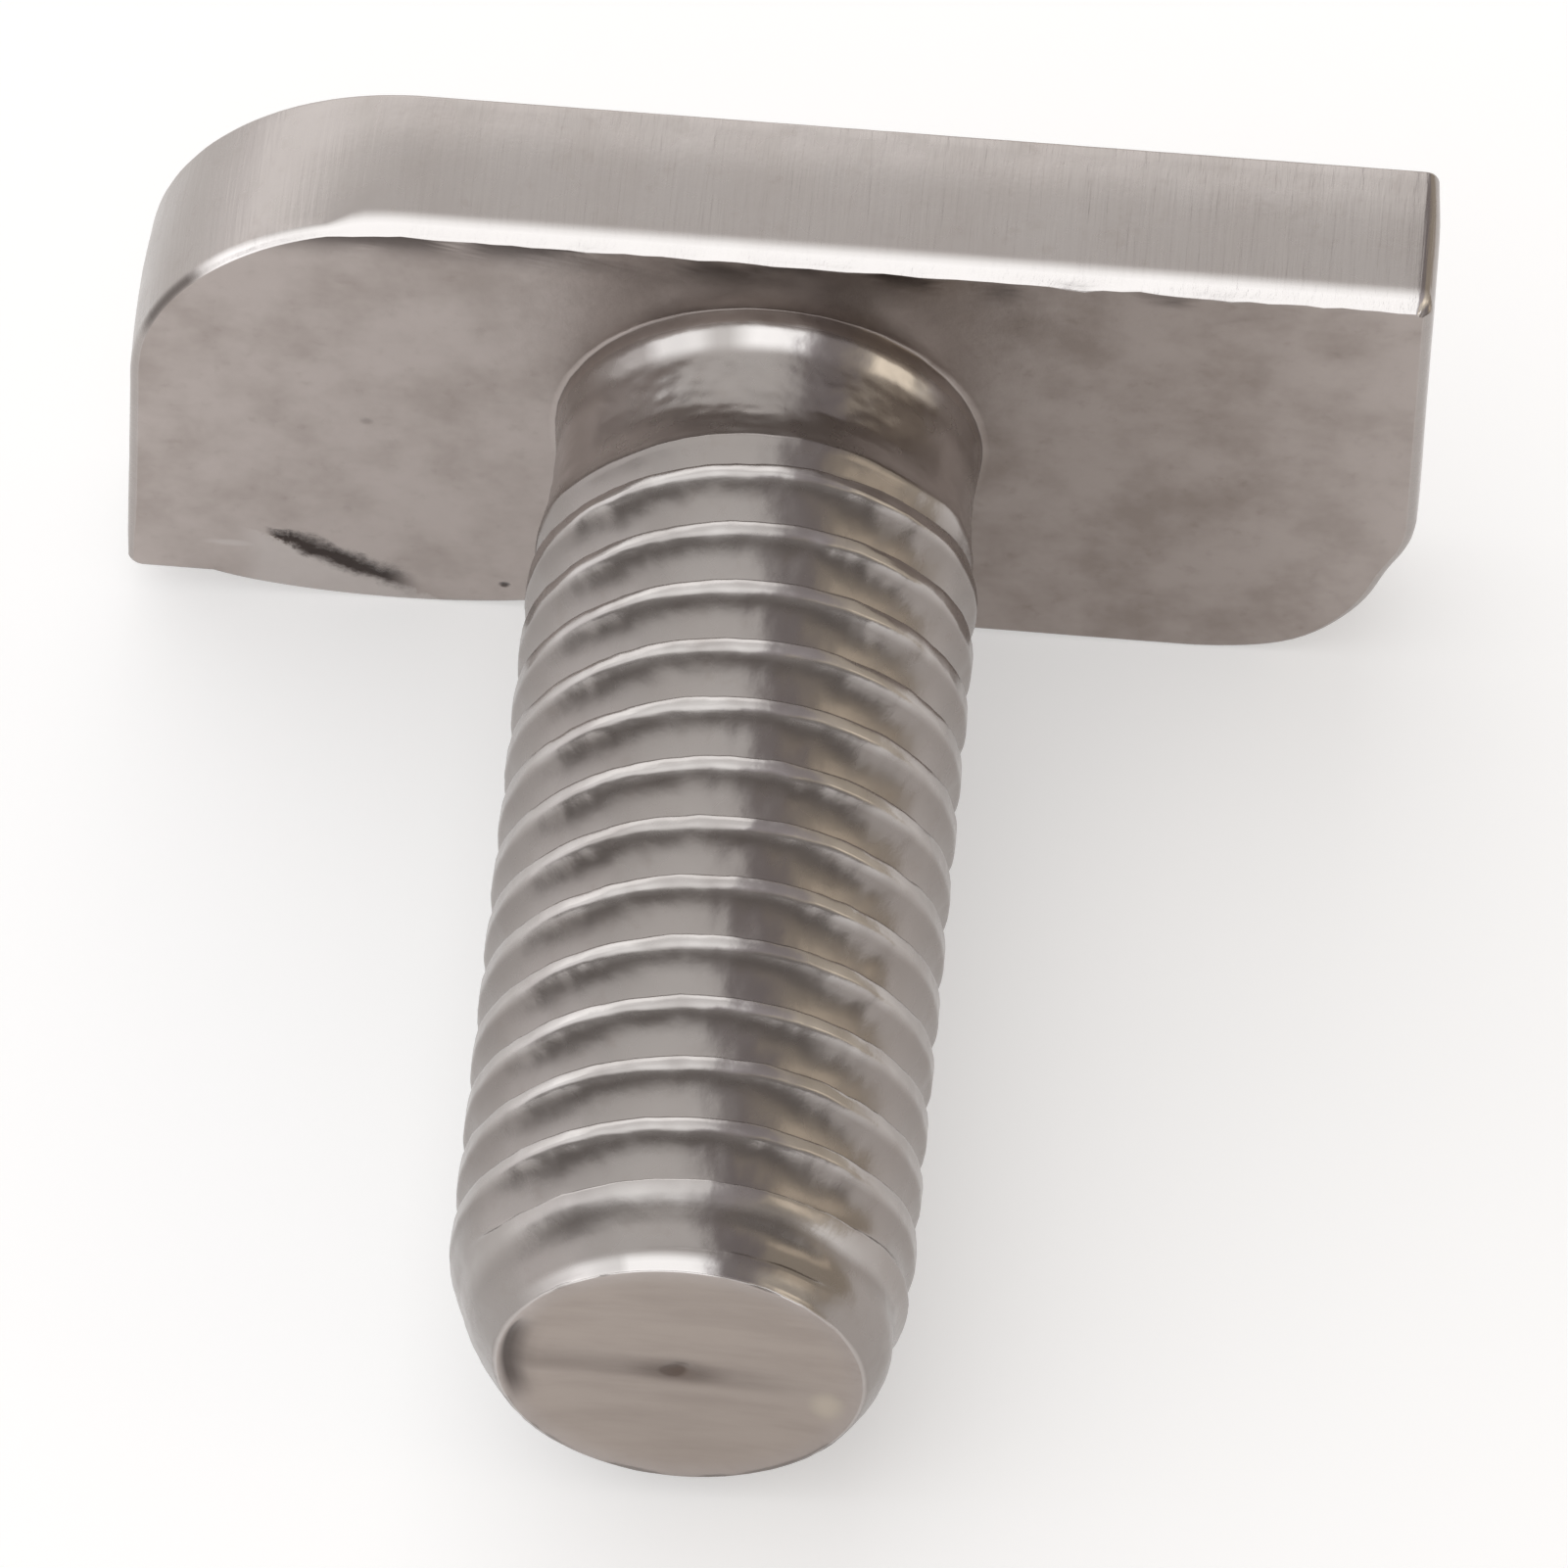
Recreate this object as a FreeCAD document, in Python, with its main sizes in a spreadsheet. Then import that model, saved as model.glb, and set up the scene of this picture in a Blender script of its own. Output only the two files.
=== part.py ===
"""A quarter-turn T-slot bolt: a flat hammer head on a threaded shank, cold-formed in one piece.

The bolt is modelled about its own axis: X along the head, Y across it, Z down the shank from the
head's bearing face. Its placement then lays it down as it comes to rest, on the head's long edge and
the last thread, with the shank towards -Y and the floor at Z = 0. All lengths are in millimetres.
"""
import FreeCAD, Part
import math
import os
from enum import IntEnum

import Sketcher

SIZES = {
    # head plate
    "head_length": 23.0,
    "head_width": 10.45,
    "head_thickness": 3.1,
    "left_corner_radius": 5.0,
    "right_corner_radius": 4.0,
    "corner_break": 0.4,
    "bearing_edge_break": 0.3,
    "back_edge_break": 0.15,
    # flash squeezed out along one long edge, and the fold beside it
    "flash_from_end": 4.8,
    "flash_length": 6.4,
    "flash_height": 0.45,
    "flash_thickness": 1.1,
    "flash_taper": 12.0,
    "fold_from_end": 3.85,
    "fold_from_edge": 0.8,
    "fold_length": 2.7,
    "fold_width": 0.16,
    "fold_depth": 0.15,
    "fold_angle": -28.0,
    # neck under the head
    "neck_diameter": 7.7,
    "neck_length": 0.8,
    "neck_root_height": 0.35,
    "neck_edge_break": 0.2,
    "blank_diameter": 7.15,
    "blank_end": 2.0,
    # shank and its tip
    "shank_length": 19.8,
    "major_diameter": 7.9,
    "tip_length": 1.6,
    "tip_diameter": 6.2,
    # right-hand thread, measured to the middle of its first whole groove
    "thread_pitch": 1.25,
    "thread_start": 2.7,
    "runout_radius": 6.0,
    "runout_sink": 0.02,
}
NODE = "t_slot_bolt"
NEAR = 0.001  # how far a point may lie from where an edge is looked for

# the basic sixty degree profile, as shares of the pitch
GROOVE_DEPTH = "(0.6134 * sizes.thread_pitch)"
GROOVE_HALF = "(sizes.thread_pitch * 7 / 16)"
CUTTER_LIFT = "(sizes.thread_pitch / 20)"  # how far the cutting profile stands clear of the crest
FLANK_SLOPE = "tan(30 deg)"
GROOVE_BOTTOM = "(sizes.major_diameter / 2 - %s)" % GROOVE_DEPTH


class Axis(IntEnum):
    """A sketch's own two axes, by the numbers that its constraints take."""
    X = -1
    Y = -2


def write_sheet(doc):
    """The sheet that holds every driving size."""
    sheet = doc.addObject("Spreadsheet::Sheet", "sizes")
    for row, (name, value) in enumerate(SIZES.items(), start=1):
        sheet.set("A%d" % row, name)
        sheet.set("B%d" % row, str(value))
        sheet.setAlias("B%d" % row, name)
    doc.recompute()
    return sheet


def origin_plane(body, role):
    """One of the body's own origin planes."""
    return next(item for item in body.Origin.OriginFeatures if item.Role == role)


def new_sketch(body, name, role):
    """An empty sketch on one of the body's origin planes."""
    sketch = body.newObject("Sketcher::SketchObject", name)
    sketch.AttachmentSupport = [(origin_plane(body, role), "")]
    sketch.MapMode = "FlatFace"
    return sketch


def pin_corner(sketch, line, label, across, up):
    """Ties the start of a line to two formulas, measured from the sketch's origin."""
    for kind, axis, formula in (("DistanceX", Axis.Y, across), ("DistanceY", Axis.X, up)):
        if formula == "0":
            sketch.addConstraint(Sketcher.Constraint("PointOnObject", line, 1, axis))
            continue
        value = float(sketch.evalExpression(formula))
        index = sketch.addConstraint(Sketcher.Constraint(kind, Axis.X, 1, line, 1, value))
        name = "%s_%s" % (label, "across" if kind == "DistanceX" else "up")
        sketch.renameConstraint(index, name)
        sketch.setExpression("Constraints." + name, formula)


def closed_profile(body, name, role, corners):
    """A closed sketch of straight lines, each corner tied to the sheet by two formulas."""
    sketch = new_sketch(body, name, role)
    points = [FreeCAD.Vector(float(sketch.evalExpression(x)), float(sketch.evalExpression(y)), 0)
              for x, y in corners]
    for start, end in zip(points, points[1:] + points[:1]):
        sketch.addGeometry(Part.LineSegment(start, end), False)
    count = len(points)
    for line in range(count):
        sketch.addConstraint(Sketcher.Constraint("Coincident", line, 2, (line + 1) % count, 1))
    for line, (x, y) in enumerate(corners):
        pin_corner(sketch, line, "corner_%d" % line, x, y)
    return sketch


def dress_edges(body, kind, name, base, wanted, size):
    """A fillet or a chamfer on each edge of the base that the test picks."""
    edges = ["Edge%d" % number for number, edge in enumerate(base.Shape.Edges, start=1) if wanted(edge)]
    if not edges:
        raise RuntimeError("no edge found for " + name)
    dress = body.newObject("PartDesign::" + kind, name)
    dress.Base = (base, edges)
    dress.setExpression("Radius" if kind == "Fillet" else "Size", size)
    body.Document.recompute()
    return dress


def at_height(edge, height):
    """Whether an edge lies in a plane at this height along the axis."""
    box = edge.BoundBox
    return abs(box.ZMin - height) < NEAR and abs(box.ZMax - height) < NEAR


def is_corner(edge, x_side, y_side):
    """Whether an edge is the upright edge at one corner of the plain head plate."""
    box = edge.BoundBox
    upright = box.XLength < NEAR and box.YLength < NEAR and box.ZLength > NEAR
    return upright and box.XMin * x_side > 0 and box.YMin * y_side > 0


def make_head(body, sheet):
    """The head plate: two opposite corners round for the quarter turn, two nearly sharp to stop it."""
    half_x, half_y = "sizes.head_length / 2", "sizes.head_width / 2"
    plan = closed_profile(body, "head_plan", "XY_Plane", [
        ("-" + half_x, "-" + half_y), (half_x, "-" + half_y), (half_x, half_y), ("-" + half_x, half_y)])
    plate = body.newObject("PartDesign::Pad", "head_plate")
    plate.Profile = plan
    plate.setExpression("Length", "sizes.head_thickness")
    plate.Reversed = True
    body.Document.recompute()
    left = dress_edges(body, "Fillet", "left_turning_corner", plate,
                       lambda edge: is_corner(edge, -1, 1), "sizes.left_corner_radius")
    right = dress_edges(body, "Fillet", "right_turning_corner", left,
                        lambda edge: is_corner(edge, 1, -1), "sizes.right_corner_radius")
    stops = dress_edges(body, "Fillet", "stop_corners", right,
                        lambda edge: is_corner(edge, 1, 1) or is_corner(edge, -1, -1),
                        "sizes.corner_break")
    bearing = dress_edges(body, "Chamfer", "bearing_edge", stops, lambda edge: at_height(edge, 0),
                          "sizes.bearing_edge_break")
    back = -sheet.head_thickness
    return dress_edges(body, "Chamfer", "back_edge", bearing, lambda edge: at_height(edge, back),
                       "sizes.back_edge_break")


def make_flash(body):
    """A thin lens of metal squeezed out along the head's lower long edge, at the bearing face."""
    middle = "(-sizes.head_length / 2 + sizes.flash_from_end)"
    left, right = middle + " - sizes.flash_length / 2", middle + " + sizes.flash_length / 2"
    edge, inside = "-sizes.head_width / 2", "-sizes.head_width / 2 + sizes.head_thickness / 2"
    bow = "(sizes.flash_length ^ 2 / 4 + sizes.flash_height ^ 2) / (2 * sizes.flash_height)"
    sketch = new_sketch(body, "flash_plan", "XY_Plane")
    x0, x1, y_edge, y_in, radius = [float(sketch.evalExpression(f)) for f in (left, right, edge, inside, bow)]
    corners = [FreeCAD.Vector(x1, y_edge, 0), FreeCAD.Vector(x1, y_in, 0), FreeCAD.Vector(x0, y_in, 0),
               FreeCAD.Vector(x0, y_edge, 0)]
    for start, end in zip(corners, corners[1:]):
        sketch.addGeometry(Part.LineSegment(start, end), False)
    half = math.asin((x1 - x0) / 2 / radius)
    down = 1.5 * math.pi
    centre = FreeCAD.Vector((x0 + x1) / 2, y_edge + radius * math.cos(half), 0)
    circle = Part.Circle(centre, FreeCAD.Vector(0, 0, 1), radius)
    sketch.addGeometry(Part.ArcOfCircle(circle, down - half, down + half), False)
    arc = 3
    for line in range(2):
        sketch.addConstraint(Sketcher.Constraint("Coincident", line, 2, line + 1, 1))
    sketch.addConstraint(Sketcher.Constraint("Coincident", 2, 2, arc, 1))
    sketch.addConstraint(Sketcher.Constraint("Coincident", arc, 2, 0, 1))
    pin_corner(sketch, 0, "edge_right", right, edge)
    pin_corner(sketch, 1, "inside_right", right, inside)
    pin_corner(sketch, 2, "inside_left", left, inside)
    pin_corner(sketch, arc, "edge_left", left, edge)
    index = sketch.addConstraint(Sketcher.Constraint("Radius", arc, radius))
    sketch.renameConstraint(index, "bow")
    sketch.setExpression("Constraints.bow", bow)
    flash = body.newObject("PartDesign::Pad", "edge_flash")
    flash.Profile = sketch
    flash.setExpression("Length", "sizes.flash_thickness")
    flash.setExpression("TaperAngle", "-sizes.flash_taper")
    flash.Reversed = True
    body.Document.recompute()
    return flash


def make_fold(body):
    """The fold in the bearing face beside the flash: a narrow slanting nick."""
    x = "(-sizes.head_length / 2 + sizes.fold_from_end)"
    y = "(-sizes.head_width / 2 + sizes.fold_from_edge)"
    turn = "(sizes.fold_angle * 1 deg)"
    along, wide = "(%s * sizes.fold_length / 2)", "(%s * sizes.fold_width / 2)"
    corners = []
    for a, b in (("-1", "-1"), ("1", "-1"), ("1", "1"), ("-1", "1")):
        run, side = along % a, wide % b
        corners.append(("%s + %s * cos(%s) - %s * sin(%s)" % (x, run, turn, side, turn),
                        "%s + %s * sin(%s) + %s * cos(%s)" % (y, run, turn, side, turn)))
    fold = body.newObject("PartDesign::Pocket", "edge_fold")
    fold.Profile = closed_profile(body, "fold_plan", "XY_Plane", corners)
    fold.setExpression("Length", "sizes.fold_depth")
    body.Document.recompute()
    return fold


def make_shank(body):
    """The shank before threading: flared neck, rolled blank, major diameter and tapered tip."""
    rooted = "-sizes.head_thickness / 2"
    flare = "sizes.neck_diameter / 2 + sizes.neck_root_height"
    neck_end = "sizes.neck_length"
    neck, blank, major, tip = (
        "sizes.%s_diameter / 2" % part for part in ("neck", "blank", "major", "tip"))
    end = "sizes.shank_length"
    profile = closed_profile(body, "shank_profile", "XZ_Plane", [
        ("0", rooted),
        (flare, rooted),
        (flare, "0"),
        (neck, "sizes.neck_root_height"),
        (neck, neck_end + " - sizes.neck_edge_break"),
        (neck + " - sizes.neck_edge_break / 2", neck_end + " + sizes.neck_edge_break / 2"),
        (blank, neck_end + " + (sizes.neck_diameter - sizes.blank_diameter) / 2"),
        (blank, "sizes.blank_end"),
        (major, "sizes.blank_end + sizes.major_diameter - sizes.blank_diameter"),
        (major, end + " - sizes.tip_length"),
        (tip, end),
        ("0", end),
    ])
    shank = body.newObject("PartDesign::Revolution", "shank_blank")
    shank.Profile = profile
    shank.ReferenceAxis = (profile, ["V_Axis"])
    shank.Angle = 360
    body.Document.recompute()
    return shank


def groove_profile(body, name, sink="0"):
    """The thread's groove: sixty degrees wide, with an eighth of the pitch left flat on the crest."""
    bottom = "%s - %s" % (GROOVE_BOTTOM, sink)
    top = "sizes.major_diameter / 2 + %s - %s" % (CUTTER_LIFT, sink)
    narrow = "(%s - %s * %s)" % (GROOVE_HALF, GROOVE_DEPTH, FLANK_SLOPE)
    wide = "(%s + %s * %s)" % (GROOVE_HALF, CUTTER_LIFT, FLANK_SLOPE)
    return closed_profile(body, name, "XZ_Plane", [
        (bottom, "sizes.thread_start - " + narrow),
        (top, "sizes.thread_start - " + wide),
        (top, "sizes.thread_start + " + wide),
        (bottom, "sizes.thread_start + " + narrow),
    ])


def cut_runout(body):
    """The thread's round run-out at the neck: its groove profile turned about a wheel's centre.

    It lies a hair deeper than the thread, so that the two cuts meet cleanly.
    """
    wheel = groove_profile(body, "runout_profile", "sizes.runout_sink")
    centre = GROOVE_BOTTOM + " + sizes.runout_radius"
    hub = float(wheel.evalExpression(centre))
    axle = wheel.addGeometry(Part.LineSegment(FreeCAD.Vector(hub, 0, 0), FreeCAD.Vector(hub, 1, 0)), True)
    wheel.addConstraint(Sketcher.Constraint("Vertical", axle))
    wheel.addConstraint(Sketcher.Constraint("PointOnObject", axle, 1, Axis.X))
    wheel.addConstraint(Sketcher.Constraint("DistanceY", axle, 1, axle, 2, 1.0))
    index = wheel.addConstraint(Sketcher.Constraint("DistanceX", Axis.X, 1, axle, 1, hub))
    wheel.renameConstraint(index, "wheel_centre")
    wheel.setExpression("Constraints.wheel_centre", centre)
    runout = body.newObject("PartDesign::Groove", "thread_runout")
    runout.Profile = wheel
    runout.ReferenceAxis = (wheel, ["Axis0"])
    runout.Angle = 360
    body.Document.recompute()
    return runout


def cut_thread(body):
    """The right-hand thread: one helical groove from the run-out to past the tip."""
    by_height = 0
    profile = groove_profile(body, "thread_profile")
    thread = body.newObject("PartDesign::SubtractiveHelix", "thread_groove")
    thread.Profile = profile
    thread.ReferenceAxis = (profile, ["V_Axis"])
    thread.Mode = by_height
    thread.setExpression("Pitch", "sizes.thread_pitch")
    thread.setExpression("Height", "sizes.shank_length - sizes.thread_start + sizes.thread_pitch")
    body.Document.recompute()
    return thread


def resting_placement(sheet):
    """Lays the bolt on its three lowest points: the flash, the head's right corner and the last thread."""
    half_width = sheet.head_width / 2
    flash = FreeCAD.Vector(-sheet.head_length / 2 + sheet.flash_from_end, -half_width - sheet.flash_height, 0)
    corner = FreeCAD.Vector(sheet.head_length / 2 - sheet.right_corner_radius, -half_width,
                            -sheet.bearing_edge_break)
    crest = FreeCAD.Vector(0, -sheet.major_diameter / 2, sheet.shank_length - sheet.tip_length)
    up = (crest - flash).cross(corner - flash).normalize()
    axis = FreeCAD.Vector(0, 0, 1)
    back = (up * axis.dot(up) - axis).normalize()
    side = back.cross(up)
    turn = FreeCAD.Rotation(FreeCAD.Matrix(
        side.x, side.y, side.z, 0, back.x, back.y, back.z, 0, up.x, up.y, up.z, 0, 0, 0, 0, 1))
    head_back = turn.multVec(FreeCAD.Vector(0, -half_width, -sheet.head_thickness)).y
    tip = turn.multVec(FreeCAD.Vector(0, sheet.tip_diameter / 2, sheet.shank_length)).y
    place = FreeCAD.Vector(0, -(head_back + tip) / 2, -up.dot(flash))
    return FreeCAD.Placement(place, turn)


def check(doc, body):
    """Stops if any feature failed or the bolt isn't one valid solid."""
    for item in doc.Objects:
        if {"Invalid", "Error"} & set(item.State):
            raise RuntimeError("%s is %s" % (item.Name, item.State))
    shape = body.Shape
    if shape.isNull() or not shape.isValid() or len(shape.Solids) != 1:
        raise RuntimeError("the bolt isn't one valid solid")


def main():
    """Builds the bolt, lays it down and writes it."""
    doc = FreeCAD.newDocument("t_slot_bolt")
    sheet = write_sheet(doc)
    body = doc.addObject("PartDesign::Body", NODE)
    body.Label = NODE
    make_head(body, sheet)
    make_flash(body)
    make_fold(body)
    make_shank(body)
    cut_runout(body)
    body.Tip = cut_thread(body)
    body.Placement = resting_placement(sheet)
    doc.recompute()
    check(doc, body)
    os.makedirs("parts", exist_ok=True)
    body.Shape.exportStep("parts/%s.step" % body.Label)
    box = body.Shape.BoundBox
    print("volume %.2f mm3, faces %d" % (body.Shape.Volume, len(body.Shape.Faces)))
    print("box X %.2f..%.2f Y %.2f..%.2f Z %.2f..%.2f" % (
        box.XMin, box.XMax, box.YMin, box.YMax, box.ZMin, box.ZMax))


main()
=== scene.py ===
"""The looks of a quarter-turn T-slot bolt: bare stainless steel, cold-formed, with a rolled thread.

The bolt is one piece. Its skin is made of rings about the shank's axis, from the middle of the tip's end
face, up the thread, over the neck and the head, to the middle of the head's back. It is built in the
bolt's own axes (X along the head, Y across it, Z down the shank, in millimetres) and laid down in the
shared frame as the solid lies.
"""

import logging
import math
from dataclasses import dataclass, field
from enum import Enum
from typing import Dict, List, Tuple, Union

import bpy
import numpy as np
from mathutils import Matrix, Quaternion, Vector, noise

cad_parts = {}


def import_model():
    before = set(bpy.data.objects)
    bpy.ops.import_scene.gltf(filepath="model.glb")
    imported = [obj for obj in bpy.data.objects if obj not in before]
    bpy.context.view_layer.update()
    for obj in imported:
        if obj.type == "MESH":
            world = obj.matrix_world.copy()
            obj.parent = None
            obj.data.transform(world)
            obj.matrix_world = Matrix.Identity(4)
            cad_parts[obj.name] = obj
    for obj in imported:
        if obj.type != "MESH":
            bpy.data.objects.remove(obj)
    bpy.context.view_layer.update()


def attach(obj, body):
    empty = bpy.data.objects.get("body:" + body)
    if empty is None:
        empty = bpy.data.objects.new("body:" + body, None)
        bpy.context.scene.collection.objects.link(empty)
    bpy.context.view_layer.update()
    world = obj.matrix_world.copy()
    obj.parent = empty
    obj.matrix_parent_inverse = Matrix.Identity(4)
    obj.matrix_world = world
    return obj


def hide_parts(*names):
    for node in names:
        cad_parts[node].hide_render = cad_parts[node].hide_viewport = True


LOG = logging.getLogger("t_slot_bolt")
MM = 0.001
TURN = 2 * math.pi

Colour = Tuple[float, float, float]
Amount = Union[float, np.ndarray]
Aside = Union[Tuple[float, float], np.ndarray]


class Mark(Enum):
    """What a point of the skin belongs to, as the finish tells its surfaces apart, and where painted shade
    and painted highlights go.
    """

    FLANK = "flank"
    FACE = "face"
    ROLLED = "rolled"
    END = "end"
    # Burnish on the crests together with painted highlights where the light falls.
    BURNISH_HIGHLIGHT = "burnished"
    # Painted shade: darkening in recesses, at junctions, under crests and below the rolled edge.
    CREASE = "crease"


def smooth_min(a: np.ndarray, b: np.ndarray, blend: float) -> np.ndarray:
    """The lesser of two fields, rounded where they cross.

    Args:
        a: The first field.
        b: The second field.
        blend: How far apart the two may be where the rounding starts.

    Returns:
        The rounded minimum.
    """
    near = np.clip(blend - np.abs(a - b), 0.0, None)
    return np.minimum(a, b) - near * near / (4 * blend)


def smooth_step(low: Amount, high: float, value: Amount) -> Amount:
    """A smooth rise from 0 at one value to 1 at another.

    Args:
        low: Where the rise starts, for all points or for each.
        high: Where it ends; it may be lower than the start.
        value: What is measured, one number or a field.

    Returns:
        The rise, between 0 and 1.
    """
    t = np.clip((value - low) / (high - low), 0.0, 1.0)
    return t * t * (3 - 2 * t)


def grain(points: np.ndarray, scale: float, seed: float) -> np.ndarray:
    """Smooth fixed noise at each point.

    Args:
        points: Points in millimetres, in the last axis.
        scale: How many waves fit in a millimetre, roughly.
        seed: A number that tells one noise from another.

    Returns:
        Noise of about -1 to 1 for each point.
    """
    flat = points.reshape(-1, 3)
    shift = Vector((seed * 7.3, seed * -3.1, seed * 5.7))
    values = [noise.noise(Vector(p) * scale + shift) for p in flat]
    return np.array(values).reshape(points.shape[:-1])


def at_height(flat: np.ndarray, height: Amount) -> np.ndarray:
    """Gives points in a plane their height, one for all or one for each."""
    return np.column_stack([flat, np.broadcast_to(height, len(flat))])


def round_axis(angle: np.ndarray, radius: Amount, shift: Aside, height: Amount) -> np.ndarray:
    """A ring about the shank's axis, moved aside by the shift."""
    return at_height(shift + np.stack([radius * np.cos(angle), radius * np.sin(angle)], axis=-1), height)


def put(name: str, data: bpy.types.ID) -> bpy.types.Object:
    """Makes an object and links it to the scene.

    Args:
        name: The object's name.
        data: Its mesh or camera.

    Returns:
        The new object.
    """
    thing = bpy.data.objects.new(name, data)
    bpy.context.scene.collection.objects.link(thing)
    return thing


@dataclass(frozen=True)
class RestingPlace:
    """How the bolt lies in the shared frame: its turn and its place, as the solid has them."""

    turn: Tuple[float, float, float, float] = (0.677346195, 0.735474631, 0.012290952, -0.011319533)
    place_mm: Tuple[float, float, float] = (0.0, 8.234544667, 5.429544950)

    def to_frame(self, points: np.ndarray) -> np.ndarray:
        """Takes points from the bolt's own axes to the shared frame.

        Args:
            points: Points in millimetres about the bolt's own axes.

        Returns:
            The same points in metres in the shared frame.
        """
        turn = np.array(Quaternion(self.turn).to_matrix())
        return (points @ turn.T + np.array(self.place_mm)) * MM


@dataclass
class RingSkin:
    """A closed skin of rings with the same number of points, and one point at each end."""

    count: int
    rings: List[np.ndarray] = field(default_factory=list)
    marks: List[Dict[Mark, np.ndarray]] = field(default_factory=list)

    def add(self, ring: np.ndarray, **marks: Amount) -> None:
        """Adds the next ring.

        Args:
            ring: The ring's points in the bolt's own axes.
            marks: The strength of each mark by name, as a number or one per point.
        """
        self.rings.append(ring)
        self.marks.append({Mark(name): np.broadcast_to(value, self.count) for name, value in marks.items()})

    def build(self, name: str, place: RestingPlace) -> bpy.types.Object:
        """Makes the mesh object.

        Args:
            name: The object's name.
            place: Where the bolt lies.

        Returns:
            The new object, linked to the scene.
        """
        ends = [self.rings[0].mean(axis=0), self.rings[-1].mean(axis=0)]
        own = np.concatenate([*self.rings, ends])
        count, rows = self.count, len(self.rings)
        first, last = count * rows, count * rows + 1
        pairs = [(here, (here + 1) % count) for here in range(count)]
        faces: List[Tuple[int, ...]] = [(first, a, b) for a, b in pairs]
        for low in range(0, (rows - 1) * count, count):
            high = low + count
            faces += [(low + a, high + a, high + b, low + b) for a, b in pairs]
        low = (rows - 1) * count
        faces += [(last, low + b, low + a) for a, b in pairs]
        mesh = bpy.data.meshes.new(name)
        mesh.from_pydata(place.to_frame(own).tolist(), [], faces)
        mesh.polygons.foreach_set("use_smooth", [True] * len(mesh.polygons))
        self._write_marks(mesh, own)
        mesh.update()
        return put(name, mesh)

    def _write_marks(self, mesh: bpy.types.Mesh, own: np.ndarray) -> None:
        """Writes each point's own place in millimetres and its marks onto the mesh.

        Args:
            mesh: The mesh to write to.
            own: Each point in the bolt's own axes.
        """
        places = mesh.attributes.new("bolt_mm", "FLOAT_VECTOR", "POINT")
        places.data.foreach_set("vector", own.astype(np.float32).ravel())
        for mark in Mark:
            rows = [marks.get(mark, np.zeros(self.count)) for marks in self.marks]
            values = np.concatenate(rows + [rows[0][:1], rows[-1][:1]]).astype(np.float32)
            layer = mesh.attributes.new(mark.value, "FLOAT", "POINT")
            layer.data.foreach_set("value", values)


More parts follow.
